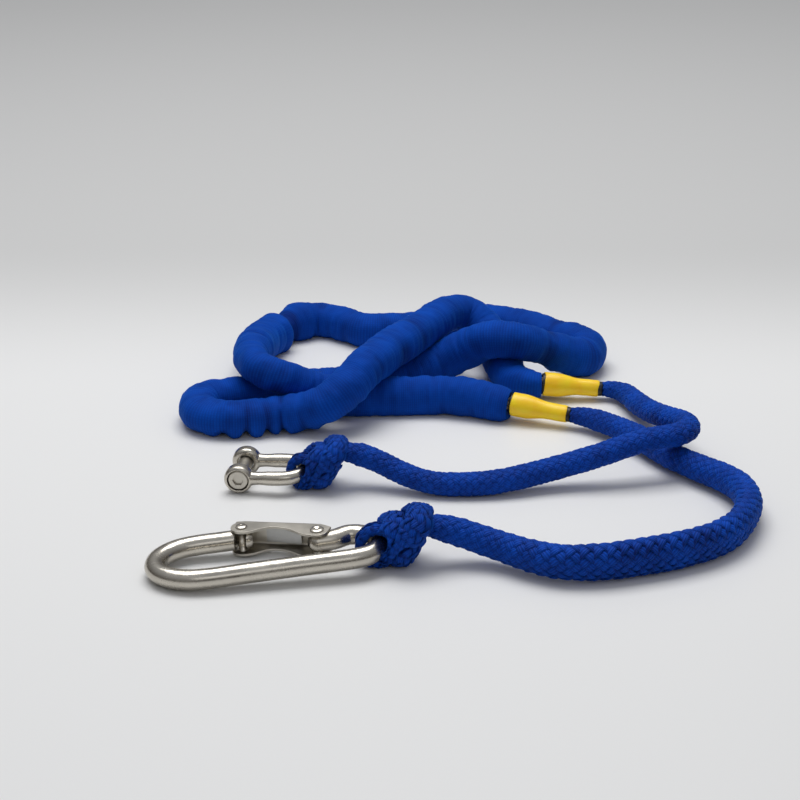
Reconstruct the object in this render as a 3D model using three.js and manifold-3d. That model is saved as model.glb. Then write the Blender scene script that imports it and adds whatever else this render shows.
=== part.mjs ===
// An elastic tether laid down in loose loops: a bungee core in a gathered webbing sleeve,
// a braided tail bound to each of its ends, a snap hook knotted to one tail and a
// D-shackle knotted to the other. Millimetres, +Z up, standing on z = 0.
import * as THREE from "three";
import { mergeVertices } from "three/addons/utils/BufferGeometryUtils.js";
import Module from "manifold-3d";

const wasm = await Module();
wasm.setup();

// Driving dimensions.
const GAP = 0.3; // between pieces that touch
const SLEEVE_D = 15; // the gathered sleeve where it lies smooth
const SLEEVE_BORE = 8;
const CORE_D = 6;
const HOOK_TAIL_D = 12;
const SHACKLE_TAIL_D = 10;
const HOOK_ROD = 8; // wire that the snap hook is bent from
const SHACKLE_ROD = 6; // an M6 shackle
const COLLAR = 27.5; // length of the black shrink tube
const COLLAR_COVER = 24.5; // length of the yellow shrink tube over it
const SHRINK_WALL = 0.45;
const STRAP_WIDTH = 7; // braid pressed flat where it goes round a metal rod

// The middle of the whole outline in plan: the loops are laid out from another point.
const MIDDLE = new THREE.Vector3(24.1, -48.8, 0);

// Centre lines. The sleeve runs from its shackle end to its hook end.
const SLEEVE_ROUTE = [
  [64, 1.5, 7.5], [61, 1.6, 7.6], [56.5, 3.2, 7.7], [52, 8, 7.8], [49, 17, 8], [47, 32, 9],
  [44.5, 45, 12], [39, 54.5, 16.5], [31, 58, 20.5], [23.5, 52.5, 22.8], [17, 41, 24], [4, 17, 24.5],
  [-7, -2, 24.5], [-16, -20, 24], [-23, -31, 20], [-32, -36, 14.5], [-42, -34, 9.5],
  [-53, -32, 7.9], [-66, -35.5, 7.6], [-78, -36, 7.6], [-87, -31, 7.6], [-89, -23, 7.6],
  [-86, -15, 7.6], [-77, -11, 7.6], [-66, -7, 7.6], [-55, -4, 7.6], [-41, 0, 7.6],
  [-28, 3, 7.6], [-14, 6, 7.6], [2, 14, 7.6], [16, 22, 9.5], [29, 23, 16], [41, 17, 23.3],
  [54, 15, 23.5], [65, 21, 18.5], [76, 27, 12.5], [85, 31, 9.5], [88, 41, 9], [82, 51, 8.5],
  [71, 61, 8], [56, 73, 8], [39, 79, 8], [19, 77, 7.6], [0, 71, 7.6], [-17, 70, 7.6],
  [-29, 79, 7.6], [-40, 84, 8], [-50, 79, 8], [-58, 69, 8], [-64, 54, 9.5], [-67, 30, 15],
  [-67, 3, 22], [-66, -9, 23.6], [-62, -18, 23.4], [-54, -21, 21], [-46, -18.5, 17],
  [-38, -16, 12.5], [-27, -15, 9], [-13, -13, 7.7], [2, -12, 7.7], [18, -12, 8.2],
  [32, -15.5, 8.6], [41, -19.6, 8.2], [49, -22.5, 7.8],
];
const SHACKLE_TAIL_ROUTE = [
  [92, 1, 5], [95, 0.9, 5], [99.5, -1.8, 5.1], [103, -8, 5.5], [105.5, -17, 6.2], [110, -31, 8],
  [116, -48, 12], [121, -64, 16.5], [121, -74, 18], [115, -80, 18], [106, -83, 18],
  [96, -86, 16.5], [83, -89, 13], [71, -91, 10], [58, -94, 7.5], [45, -98, 6], [33, -100, 5.1],
  [16, -100, 5.1], [8, -98, 6], [0, -95, 8], [-8, -92, 11], [-16, -90, 13.5], [-24, -90, 15],
  [-30, -90.5, 15],
];
const HOOK_TAIL_ROUTE = [
  [75.6, -31.5, 6.2], [82, -33.8, 6.1], [92, -42.5, 6.2], [103, -56, 6.2], [114, -74, 6.2],
  [125, -88, 6.5], [134, -99, 7], [139, -110, 7.5], [140, -124, 7.5], [136, -138, 8], [130, -149, 8],
  [121, -158, 8], [107, -166, 8], [91, -172, 8], [76, -176, 8], [61, -176, 8], [50, -171, 8],
  [39, -164, 8.5], [31, -161, 10], [23, -160, 12.5], [14, -160, 15], [5, -160, 16.5],
];

const COLOURS = {
  webbing: { color: 0x0a3fae, roughness: 0.85, metalness: 0 },
  braid: { color: 0x0b45bd, roughness: 0.75, metalness: 0 },
  rubber: { color: 0xd8cfae, roughness: 0.9, metalness: 0 },
  twine: { color: 0xe8e2d0, roughness: 0.9, metalness: 0 },
  blackShrink: { color: 0x101010, roughness: 0.45, metalness: 0 },
  yellowShrink: { color: 0xf7c52b, roughness: 0.4, metalness: 0 },
  steel: { color: 0xb9b5a8, roughness: 0.28, metalness: 1 },
  spring: { color: 0xa8a8a4, roughness: 0.35, metalness: 1 },
};

function node(name, geometry, colour) {
  const mesh = new THREE.Mesh(geometry, new THREE.MeshStandardMaterial(COLOURS[colour]));
  mesh.name = name;
  return mesh;
}

const vector = ([x, y, z]) => new THREE.Vector3(x, y, z);

// The smooth curve through a route's points.
const curveOf = (points) => new THREE.CatmullRomCurve3(points.map(vector), false, "centripetal");

// A round tube along a curve, open at both ends where it has a bore. An arc has two sides
// for each of its curve segments.
function tube(curve, diameter, sides, steps, bore = 0) {
  const section = new THREE.Shape().absarc(0, 0, diameter / 2, 0, 2 * Math.PI);
  if (bore) section.holes.push(new THREE.Path().absarc(0, 0, bore / 2, 0, 2 * Math.PI, true));
  return new THREE.ExtrudeGeometry(section, { steps, extrudePath: curve, curveSegments: sides / 2 });
}

function solidOf(geometry) {
  const bare = geometry.clone();
  bare.deleteAttribute("normal");
  bare.deleteAttribute("uv");
  const merged = mergeVertices(bare, 1e-4);
  const vertProperties = new Float32Array(merged.attributes.position.array);
  const triVerts = new Uint32Array(merged.index.array);
  return new wasm.Manifold(new wasm.Mesh({ numProp: 3, vertProperties, triVerts }));
}

function geometryOf(solid) {
  const { vertProperties, triVerts } = solid.getMesh();
  const geometry = new THREE.BufferGeometry();
  geometry.setAttribute("position", new THREE.BufferAttribute(vertProperties, 3));
  geometry.setIndex(new THREE.BufferAttribute(triVerts, 1));
  geometry.computeVertexNormals();
  return geometry;
}

// One geometry from a first one with others added, and then others cut away.
function carved(first, added, cut) {
  let solid = solidOf(first);
  for (const geometry of added) solid = solid.add(solidOf(geometry));
  for (const geometry of cut) solid = solid.subtract(solidOf(geometry));
  return geometryOf(solid);
}

// A ring or rod turned about Z from [radius, height] corners that close on themselves.
function turned(corners, sides) {
  const profile = [...corners, corners[0]].map(([radius, height]) => new THREE.Vector2(radius, height));
  return new THREE.LatheGeometry(profile, sides).rotateX(Math.PI / 2);
}

// A straight round bar from one height to another about Z.
const bar = (radius, from, to, sides) =>
  new THREE.CylinderGeometry(radius, radius, to - from, sides)
    .rotateX(Math.PI / 2)
    .translate(0, 0, (from + to) / 2);

// Stands a group's +Z on the line from one point to another.
function aimed(group, from, to) {
  group.position.copy(from);
  group.quaternion.setFromUnitVectors(new THREE.Vector3(0, 0, 1), to.clone().sub(from).normalize());
  return group;
}

// The bungee: an elastic core, loose in its gathered sleeve, that runs on into both collars.
const SLEEVE_STEPS = 72;
const CORE_REACH = 13;

function beyond(end, towards, reach) {
  return towards.clone().sub(end).normalize().multiplyScalar(reach).add(end).toArray();
}

function bungee() {
  const group = new THREE.Group();
  const first = vector(SLEEVE_ROUTE[0]);
  const last = vector(SLEEVE_ROUTE.at(-1));
  const core = curveOf([
    beyond(first, vector(SHACKLE_TAIL_ROUTE[0]), CORE_REACH),
    ...SLEEVE_ROUTE,
    beyond(last, vector(HOOK_TAIL_ROUTE[0]), CORE_REACH),
  ]);
  const sleeve = tube(curveOf(SLEEVE_ROUTE), SLEEVE_D, 10, SLEEVE_STEPS, SLEEVE_BORE);
  group.add(node("bungee_sleeve", sleeve, "webbing"));
  group.add(node("bungee_core", tube(core, CORE_D, 8, SLEEVE_STEPS + 2), "rubber"));
  return group;
}

// One collar: two shrink tubes, one over the other, and the twine binding that they cover.
// Its axis is +Z, from the sleeve's end to the tail's end.
const COLLAR_SIDES = 20;
const TWINE = 0.6; // thickness of the wound twine
const DRAWN_IN = 1.7; // how much less the collar's radius is at the tail

function shrinkTube(bore, from, to, shoulder) {
  const wall = SHRINK_WALL;
  const tailBore = bore - DRAWN_IN;
  const outside = [[bore + wall, from], [bore + wall, shoulder], [tailBore + wall, to]];
  return turned([[bore, from], ...outside, [tailBore, to], [bore, shoulder]], COLLAR_SIDES);
}

function collar(end, sleeveEnd, tailEnd) {
  const group = new THREE.Group();
  const cord = CORE_D / 2 + GAP;
  const bore = cord + TWINE + GAP;
  const shoulder = 12; // where the taper starts
  const cover = (COLLAR - COLLAR_COVER) / 2;
  const wound = turned([[cord, 3], [cord + TWINE, 3], [cord + TWINE, 10], [cord, 10]], COLLAR_SIDES);
  const black = shrinkTube(bore, 0, COLLAR, shoulder);
  const over = SHRINK_WALL + GAP;
  const yellow = shrinkTube(bore + over, cover, COLLAR - cover, shoulder);
  group.add(node(`${end}_binding`, wound, "twine"));
  group.add(node(`${end}_inner_shrink`, black, "blackShrink"));
  group.add(node(`${end}_outer_shrink`, yellow, "yellowShrink"));
  const start = vector(beyond(sleeveEnd, tailEnd, GAP));
  return aimed(group, start, tailEnd);
}

// Snap hook. In its own frame the back arm lies along +X, the gate side is at +Y and the
// small end, which the rope goes round, is at high X.
const HOOK_PLACE = new THREE.Vector3(-75, -184, 4.65);
const HOOK_TURN = [1.7, -2.8, 11.5].map(THREE.MathUtils.degToRad); // roll, pitch, yaw
const BIG_END = { x: 2, length: 18, halfWidth: 13.5 };
const SMALL_END = { x: 60, radius: 9.5 };
const GATE_HINGE = new THREE.Vector3(47.5, 16.6, 0);
const GATE_LATCH = new THREE.Vector3(19.5, 27, 0);
const RIVET = 2;
const LATCH_PIN = 1.6;
const SHEET = 1; // the gate's sheet metal
const GATE_ROOM = 0.4; // between the gate's legs and the rod

const HOOK_APEX = new THREE.Vector3(SMALL_END.x + SMALL_END.radius, SMALL_END.radius, 0);
const GATE_LENGTH = GATE_LATCH.distanceTo(GATE_HINGE);
const GATE_ANGLE = Math.atan2(GATE_LATCH.y - GATE_HINGE.y, GATE_LATCH.x - GATE_HINGE.x);
const LEG_INSIDE = HOOK_ROD / 2 + GATE_ROOM;
const LEG_OUTSIDE = LEG_INSIDE + SHEET;

function arc(x, y, radiusX, radiusY, from, to, count) {
  return Array.from({ length: count }, (_, i) => {
    const angle = THREE.MathUtils.degToRad(from + ((to - from) * i) / (count - 1));
    return [x + radiusX * Math.cos(angle), y + radiusY * Math.sin(angle), 0];
  });
}

function hookBody() {
  const { x, length, halfWidth } = BIG_END;
  const { radius } = SMALL_END;
  const line = curveOf([
    [GATE_LATCH.x + 3.6, GATE_LATCH.y + 0.2, 0],
    [GATE_LATCH.x - 8, 2 * halfWidth, 0],
    ...arc(x, halfWidth, length, halfWidth, 90, 270, 9),
    [20, 0, 0],
    [40, 0, 0],
    ...arc(SMALL_END.x, radius, radius, radius, -90, 90, 7),
    [54, 17, 0],
    [GATE_HINGE.x, GATE_HINGE.y, 0],
  ]);
  const rod = tube(line, HOOK_ROD, 12, 46);
  const roundEnd = new THREE.SphereGeometry(HOOK_ROD / 2, 12, 8).translate(GATE_HINGE.x, GATE_HINGE.y, 0);
  const rivetHole = bar(RIVET + GAP, -HOOK_ROD, HOOK_ROD, 16).translate(GATE_HINGE.x, GATE_HINGE.y, 0);
  const slotWidth = 2 * LATCH_PIN + 1.2;
  const slotDepth = HOOK_ROD;
  const slot = new THREE.BoxGeometry(slotWidth, slotDepth, 2 * HOOK_ROD)
    .translate(GATE_LENGTH, slotDepth / 2, 0)
    .rotateZ(GATE_ANGLE)
    .translate(GATE_HINGE.x, GATE_HINGE.y, 0);
  const slotEnd = bar(slotWidth / 2, -HOOK_ROD, HOOK_ROD, 16).translate(GATE_LATCH.x, GATE_LATCH.y, 0);
  return carved(rod, [roundEnd], [rivetHole, slot, slotEnd]);
}

// The gate is a folded channel: +X from its hinge to its latch, +Y into the hook. Its web is
// outside the rod; its two legs are wide at the hinge and at the latch and narrow between.
const WEB_OUT = -(HOOK_ROD / 2 + 1 + SHEET);
const EAR = 5;

function gateLeg(from) {
  const outline = new THREE.Shape();
  const waist = -1.2; // how far the leg reaches between its two ears
  outline.moveTo(-EAR, WEB_OUT + 3);
  outline.lineTo(1.5, WEB_OUT);
  outline.lineTo(GATE_LENGTH - 5.6, WEB_OUT);
  outline.lineTo(GATE_LENGTH + 3, -4.2);
  outline.absarc(GATE_LENGTH, 0, 4.2, -Math.PI / 4, Math.PI / 2, false);
  outline.bezierCurveTo(GATE_LENGTH - 6, 4.2, GATE_LENGTH - 7, waist, GATE_LENGTH - 13, waist);
  outline.bezierCurveTo(9, waist, 8, 4.4, 0, 4.4);
  outline.absarc(0, 0, 4.4, Math.PI / 2, Math.PI, false);
  outline.holes.push(new THREE.Path().absarc(0, 0, RIVET + GAP, 0, 2 * Math.PI, true));
  outline.holes.push(new THREE.Path().absarc(GATE_LENGTH, 0, LATCH_PIN + GAP, 0, 2 * Math.PI, true));
  return new THREE.ExtrudeGeometry(outline, { depth: SHEET, bevelEnabled: false, curveSegments: 6 })
    .translate(0, 0, from);
}

function gate() {
  const from = 1.5;
  const to = GATE_LENGTH - 5.6;
  const web = new THREE.BoxGeometry(to - from, SHEET, 2 * LEG_OUTSIDE)
    .translate((from + to) / 2, WEB_OUT + SHEET / 2, 0);
  return carved(web, [gateLeg(LEG_INSIDE), gateLeg(-LEG_OUTSIDE)], []);
}

// A rivet through both legs, with a thin round head outside each.
function rivet(radius, head) {
  const under = LEG_OUTSIDE + GAP / 2;
  const top = under + 0.65;
  const half = [[radius, under], [head, under], [head * 0.8, top], [0, top]];
  const other = half.map(([r, height]) => [r, -height]).reverse();
  const profile = [...other, ...half].map(([r, height]) => new THREE.Vector2(r, height));
  return new THREE.LatheGeometry(profile, 20).rotateX(Math.PI / 2);
}

// The strip spring that lies along the inside of the gate's web.
function gateSpring() {
  const strip = new THREE.Shape();
  const foot = WEB_OUT + SHEET + GAP;
  strip.moveTo(7, foot);
  strip.lineTo(21, foot);
  strip.lineTo(21, foot + 0.5);
  strip.quadraticCurveTo(14, foot + 0.5, 7, foot + 2);
  strip.closePath();
  return new THREE.ExtrudeGeometry(strip, { depth: 6, bevelEnabled: false, curveSegments: 6 })
    .translate(0, 0, -3);
}

function hook() {
  const gateFrame = new THREE.Group();
  gateFrame.position.copy(GATE_HINGE);
  gateFrame.rotation.z = GATE_ANGLE;
  const latchPin = node("gate_latch_pin", rivet(LATCH_PIN, 3), "steel");
  latchPin.position.x = GATE_LENGTH;
  gateFrame.add(
    node("hook_gate", gate(), "steel"),
    node("gate_hinge_rivet", rivet(RIVET, 3.6), "steel"),
    latchPin,
    node("gate_spring", gateSpring(), "spring"),
  );
  const group = new THREE.Group();
  group.add(node("hook_body", hookBody(), "steel"), gateFrame);
  group.position.copy(HOOK_PLACE);
  group.rotation.set(...HOOK_TURN, "ZYX");
  group.updateMatrix();
  return group;
}

// D-shackle. In its own frame the pin lies along Y through the origin, the bow is at +X and
// the pin's head is at -Y.
const SHACKLE_PLACE = new THREE.Vector3(-65.4, -88, 6.1);
const SHACKLE_TURN = [0, -2.4, -7].map(THREE.MathUtils.degToRad);
const SHACKLE_HALF = 9; // from the middle to the middle of a leg
const BOW_X = 17; // where the legs turn into the bow
const EAR_RADIUS = 6;
const EAR_WIDTH = 6;
const HEAD_RADIUS = 4.2;
const HEAD_DEPTH = 2;
const SHACKLE_APEX = new THREE.Vector3(BOW_X + SHACKLE_HALF, 0, 0);

// Lays a bar that was made along Z along Y.
const alongY = (geometry) => geometry.rotateX(-Math.PI / 2);

function shackleBow() {
  const line = curveOf([
    [3, -SHACKLE_HALF, 0],
    [10, -SHACKLE_HALF, 0],
    ...arc(BOW_X, 0, SHACKLE_HALF, SHACKLE_HALF, -90, 90, 9),
    [10, SHACKLE_HALF, 0],
    [3, SHACKLE_HALF, 0],
  ]);
  const outside = SHACKLE_HALF + EAR_WIDTH / 2;
  const inside = SHACKLE_HALF - EAR_WIDTH / 2;
  const ears = [
    alongY(bar(EAR_RADIUS, inside, outside, 28)),
    alongY(bar(EAR_RADIUS, -outside, -inside, 28)),
  ];
  const pinHole = alongY(bar(SHACKLE_ROD / 2 + GAP, -outside - 1, outside + 1, 24));
  const headRecess = alongY(bar(HEAD_RADIUS + GAP, -outside - 1, -outside + HEAD_DEPTH + GAP, 24));
  return carved(tube(line, SHACKLE_ROD, 12, 26), ears, [pinHole, headRecess]);
}

function shacklePin() {
  const outside = SHACKLE_HALF + EAR_WIDTH / 2;
  const shank = alongY(bar(SHACKLE_ROD / 2, -outside + 1, outside - 0.2, 24));
  const head = alongY(bar(HEAD_RADIUS, -outside, -outside + HEAD_DEPTH, 24));
  const socket = alongY(bar(2.3, -outside - 1, -outside + 1.6, 6));
  return carved(shank, [head], [socket]);
}

function shackle() {
  const group = new THREE.Group();
  group.add(node("shackle_bow", shackleBow(), "steel"), node("shackle_pin", shacklePin(), "steel"));
  group.position.copy(SHACKLE_PLACE);
  group.rotation.set(...SHACKLE_TURN, "ZYX");
  group.updateMatrix();
  return group;
}

// The rope's end at a fitting: the flat strap round the rod, and the knot behind it that the
// tail comes out of. The strap's axis is the rod's own line at the apex, which is the
// fitting's local Y.
function ropeEnd(fitting, apex, tail, { eye, room, strap, knot, knotAt, knotSize }) {
  const group = new THREE.Group();
  const ring = new THREE.Shape().absarc(0, 0, room + strap, 0, 2 * Math.PI);
  ring.holes.push(new THREE.Path().absarc(0, 0, room, 0, 2 * Math.PI, true));
  const bevel = 0.4;
  const eyeGeometry = new THREE.ExtrudeGeometry(ring, {
    depth: STRAP_WIDTH - 2 * bevel,
    bevelThickness: bevel,
    bevelSize: bevel,
    bevelOffset: -bevel,
    bevelSegments: 1,
    curveSegments: 12,
  }).translate(0, 0, bevel - STRAP_WIDTH / 2);
  alongY(eyeGeometry);
  eyeGeometry.translate(apex.x, apex.y, apex.z).applyMatrix4(fitting.matrix);
  const clearance = alongY(bar(room + strap + GAP, -3 * STRAP_WIDTH, 3 * STRAP_WIDTH, 32))
    .translate(apex.x, apex.y, apex.z)
    .applyMatrix4(fitting.matrix);
  const lump = new THREE.SphereGeometry(1, 18, 12).scale(...knotSize).translate(...knotAt);
  const way = tube(curveOf(tail.route), tail.diameter + 2 * GAP, 12, 24);
  group.add(node(eye, eyeGeometry, "braid"));
  group.add(node(knot, carved(lump, [], [clearance, way]), "braid"));
  return group;
}

function tail(name, route, diameter, steps) {
  return node(name, tube(curveOf(route), diameter, 10, steps), "braid");
}

// room is the radius inside the strap, strap its thickness, knotSize half the knot's size.
const HOOK_END = {
  eye: "hook_eye",
  room: 5.5,
  strap: 2.7,
  knot: "hook_knot",
  knotAt: [0.5, -160.5, 11.8],
  knotSize: [10, 10.5, 11.8],
};
const SHACKLE_END = {
  eye: "shackle_eye",
  room: 4.5,
  strap: 2.6,
  knot: "shackle_knot",
  knotAt: [-31, -91, 10.8],
  knotSize: [9.5, 9.5, 10.8],
};

const tether = new THREE.Group();
const snapHook = hook();
const dShackle = shackle();
const layout = new THREE.Group();
layout.add(
  bungee(),
  collar("shackle_end", vector(SLEEVE_ROUTE[0]), vector(SHACKLE_TAIL_ROUTE[0])),
  collar("hook_end", vector(SLEEVE_ROUTE.at(-1)), vector(HOOK_TAIL_ROUTE[0])),
  tail("shackle_tail", SHACKLE_TAIL_ROUTE, SHACKLE_TAIL_D, 24),
  tail("hook_tail", HOOK_TAIL_ROUTE, HOOK_TAIL_D, 26),
  snapHook,
  dShackle,
  ropeEnd(snapHook, HOOK_APEX, { route: HOOK_TAIL_ROUTE, diameter: HOOK_TAIL_D }, HOOK_END),
  ropeEnd(
    dShackle, SHACKLE_APEX, { route: SHACKLE_TAIL_ROUTE, diameter: SHACKLE_TAIL_D }, SHACKLE_END,
  ),
);
layout.position.set(-MIDDLE.x, -MIDDLE.y, 0);
tether.add(layout);

export default tether;
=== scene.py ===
import math

import bmesh
import bpy
import numpy as np
from mathutils import Euler, Matrix, Vector


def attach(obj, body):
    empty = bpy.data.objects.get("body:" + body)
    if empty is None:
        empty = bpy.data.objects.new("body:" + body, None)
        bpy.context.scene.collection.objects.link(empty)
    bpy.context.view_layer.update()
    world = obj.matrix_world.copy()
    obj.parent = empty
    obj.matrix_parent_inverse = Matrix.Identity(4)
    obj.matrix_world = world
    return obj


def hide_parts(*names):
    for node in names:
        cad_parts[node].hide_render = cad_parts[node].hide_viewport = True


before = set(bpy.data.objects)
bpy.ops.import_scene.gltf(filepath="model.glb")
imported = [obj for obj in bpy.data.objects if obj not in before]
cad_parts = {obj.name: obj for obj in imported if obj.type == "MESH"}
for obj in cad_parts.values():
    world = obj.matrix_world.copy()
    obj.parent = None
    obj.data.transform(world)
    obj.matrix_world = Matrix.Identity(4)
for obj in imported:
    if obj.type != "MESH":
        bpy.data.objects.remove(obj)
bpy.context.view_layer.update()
scene = bpy.context.scene
random = np.random.default_rng(11)

TURN = 2 * math.pi
FLOOR = 0.0002  # the rope's underside rests this far above the sheet
MIDDLE = np.array((0.0241, -0.0488, 0))  # the layout is measured from another point

# Sizes that the model is built to.
COLLAR = 0.0275
COLLAR_COVER = 0.0245
COLLAR_GAP = 0.0003
SHRINK_WALL = 0.00045
HOOK_ROD = 0.008
SHACKLE_ROD = 0.006
CORE_D = 0.006
SLEEVE_BORE = 0.008


# --- camera ---

def add_camera():
    data = bpy.data.cameras.new("camera")
    data.lens = 99
    camera = bpy.data.objects.new("camera", data)
    elevation = math.radians(23)
    distance = 1.0
    target = Vector(-MIDDLE)
    camera.location = target + distance * Vector((0, -math.cos(elevation), math.sin(elevation)))
    camera.rotation_euler = (math.pi / 2 - elevation, 0, 0)
    scene.collection.objects.link(camera)
    scene.camera = camera


add_camera()

# --- routes ---

# Centre lines of the CAD model's sleeve and tails.
SLEEVE_ROUTE = [
    (0.064, 0.0015, 0.0075), (0.061, 0.0016, 0.0076), (0.0565, 0.0032, 0.0077),
    (0.052, 0.008, 0.0078), (0.049, 0.017, 0.008), (0.047, 0.032, 0.009), (0.0445, 0.045, 0.012),
    (0.039, 0.0545, 0.0165), (0.031, 0.058, 0.0205), (0.0235, 0.0525, 0.0228), (0.017, 0.041, 0.024),
    (0.004, 0.017, 0.0245), (-0.007, -0.002, 0.0245), (-0.016, -0.02, 0.024), (-0.023, -0.031, 0.02),
    (-0.032, -0.036, 0.0145), (-0.042, -0.034, 0.0095), (-0.053, -0.032, 0.0079),
    (-0.066, -0.0355, 0.0076), (-0.078, -0.036, 0.0076), (-0.087, -0.031, 0.0076),
    (-0.089, -0.023, 0.0076), (-0.086, -0.015, 0.0076), (-0.077, -0.011, 0.0076),
    (-0.066, -0.007, 0.0076), (-0.055, -0.004, 0.0076), (-0.041, 0, 0.0076), (-0.028, 0.003, 0.0076),
    (-0.014, 0.006, 0.0076), (0.002, 0.014, 0.0076), (0.016, 0.022, 0.0095), (0.029, 0.023, 0.016),
    (0.041, 0.017, 0.0233), (0.054, 0.015, 0.0235), (0.065, 0.021, 0.0185), (0.076, 0.027, 0.0125),
    (0.085, 0.031, 0.0095), (0.088, 0.041, 0.009), (0.082, 0.051, 0.0085), (0.071, 0.061, 0.008),
    (0.056, 0.073, 0.008), (0.039, 0.079, 0.008), (0.019, 0.077, 0.0076), (0, 0.071, 0.0076),
    (-0.017, 0.07, 0.0076), (-0.029, 0.079, 0.0076), (-0.04, 0.084, 0.008), (-0.05, 0.079, 0.008),
    (-0.058, 0.069, 0.008), (-0.064, 0.054, 0.0095), (-0.067, 0.03, 0.015), (-0.067, 0.003, 0.022),
    (-0.066, -0.009, 0.0236), (-0.062, -0.018, 0.0234), (-0.054, -0.021, 0.021),
    (-0.046, -0.0185, 0.017), (-0.038, -0.016, 0.0125), (-0.027, -0.015, 0.009),
    (-0.013, -0.013, 0.0077), (0.002, -0.012, 0.0077), (0.018, -0.012, 0.0082),
    (0.032, -0.0155, 0.0086), (0.041, -0.0196, 0.0082), (0.049, -0.0225, 0.0078),
]
SHACKLE_TAIL_ROUTE = [
    (0.092, 0.001, 0.005), (0.095, 0.0009, 0.005), (0.0995, -0.0018, 0.0051), (0.103, -0.008, 0.0055),
    (0.1055, -0.017, 0.0062), (0.11, -0.031, 0.008), (0.116, -0.048, 0.012), (0.121, -0.064, 0.0165),
    (0.121, -0.074, 0.018), (0.115, -0.08, 0.018), (0.106, -0.083, 0.018), (0.096, -0.086, 0.0165),
    (0.083, -0.089, 0.013), (0.071, -0.091, 0.01), (0.058, -0.094, 0.0075), (0.045, -0.098, 0.006),
    (0.033, -0.1, 0.0051), (0.016, -0.1, 0.0051), (0.008, -0.098, 0.006), (0, -0.095, 0.008),
    (-0.008, -0.092, 0.011), (-0.016, -0.09, 0.0135), (-0.024, -0.09, 0.015), (-0.03, -0.0905, 0.015),
]
HOOK_TAIL_ROUTE = [
    (0.0756, -0.0315, 0.0062), (0.082, -0.0338, 0.0061), (0.092, -0.0425, 0.0062),
    (0.103, -0.056, 0.0062), (0.114, -0.074, 0.0062), (0.125, -0.088, 0.0065), (0.134, -0.099, 0.007),
    (0.139, -0.11, 0.0075), (0.14, -0.124, 0.0075), (0.136, -0.138, 0.008), (0.13, -0.149, 0.008),
    (0.121, -0.158, 0.008), (0.107, -0.166, 0.008), (0.091, -0.172, 0.008), (0.076, -0.176, 0.008),
    (0.061, -0.176, 0.008), (0.05, -0.171, 0.008), (0.039, -0.164, 0.0085), (0.031, -0.161, 0.01),
    (0.023, -0.16, 0.0125), (0.014, -0.16, 0.015), (0.005, -0.16, 0.0165),
]

# Width and height at distances along each run, in millimetres.
SLEEVE_GIRTH = [
    (0, 10.6, 10.6), (3, 11.6, 11.6), (9, 13.4, 13.2), (24, 17, 15), (40, 18, 16), (60, 16.4, 15.8),
    (85, 16, 15.4), (110, 17.2, 16.4), (135, 18.2, 17.6), (170, 17.6, 17), (193, 17, 16.2),
    (215, 17.6, 15), (241, 18.4, 14.8), (255, 18, 14.8), (278, 17.2, 14.6), (330, 16, 14.2), (362, 15.6, 15),
    (380, 17.6, 17.2), (396, 18.6, 18), (410, 17.6, 17), (424, 16, 15.4), (449, 17.4, 16.8),
    (470, 18.6, 18.4), (484, 18.6, 18.2), (516, 17.4, 17), (554, 16.6, 16.4), (592, 15.8, 15.6),
    (615, 16.2, 16), (640, 16, 15.8), (656, 18, 17.6), (674, 17.6, 17), (700, 15.2, 15),
    (743, 15, 14.6), (774, 16.2, 15.8), (800, 17.4, 17), (824, 17.2, 17), (838, 16.4, 16.2),
    (846, 15.4, 15), (850, 14.2, 13.8), (852.2, 11.6, 11.6),
]
SHACKLE_TAIL_GIRTH = [
    (0, 6.4, 6.4), (4, 7.6, 7.6), (12, 9.4, 9), (30, 10.4, 9.6), (60, 10.6, 10), (90, 10.2, 9.6),
    (130, 10.4, 9.8), (180, 10.2, 10), (215, 9.4, 9.4), (232, 9.6, 9.8), (238, 8, 8), (246.4, 7, 7),
]
HOOK_TAIL_GIRTH = [
    (0, 6.4, 6.4), (4, 8, 8), (12, 9.6, 9.4), (30, 10.6, 10.2), (60, 11.4, 11), (90, 11.8, 12),
    (120, 10.8, 13.4), (150, 9.8, 15), (180, 9.6, 15.6), (210, 10, 15), (232, 10.8, 13),
    (252, 11, 11.8), (268, 10.4, 11), (274, 9, 9), (281.8, 7.6, 7.6),
]

# Where the gathered sleeve is drawn in: distance, depth and half length in millimetres.
PINCHES = [
    (26, 0.4, 3), (205, 0.8, 2.2), (214, 1.3, 2), (222.5, 1.5, 1.8), (231, 1.6, 1.8),
    (239.5, 1.2, 1.8), (436, 0.7, 3.6), (491, 0.7, 3.4), (598, 0.5, 3), (640, 4.6, 4), (666, 0.8, 2.4),
    (698, 3.2, 3.6), (716, 0.9, 2.4), (822, 0.4, 3),
]


def catmull_rom(points, count=40):
    """Points on the centripetal Catmull-Rom curve through the given ones."""
    points = np.array(points, float)
    points = np.vstack([2 * points[0] - points[1], points, 2 * points[-1] - points[-2]])
    t = np.linspace(0, 1, count, endpoint=False)[:, None]
    found = []
    for p0, p1, p2, p3 in zip(points, points[1:], points[2:], points[3:]):
        d0, d1, d2 = (math.sqrt(np.linalg.norm(a - b)) for a, b in ((p0, p1), (p1, p2), (p2, p3)))
        m1 = d1 * ((p1 - p0) / d0 - (p2 - p0) / (d0 + d1) + (p2 - p1) / d1)
        m2 = d1 * ((p2 - p1) / d1 - (p3 - p1) / (d1 + d2) + (p3 - p2) / d2)
        found.append(
            (2 * t**3 - 3 * t**2 + 1) * p1
            + (t**3 - 2 * t**2 + t) * m1
            + (3 * t**2 - 2 * t**3) * p2
            + (t**3 - t**2) * m2
        )
    return np.vstack(found + [points[-2:-1]])


def unit(vectors):
    return vectors / np.linalg.norm(vectors, axis=-1, keepdims=True)


def smooth(t):
    t = np.clip(t, 0, 1)
    return t * t * (3 - 2 * t)


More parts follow.
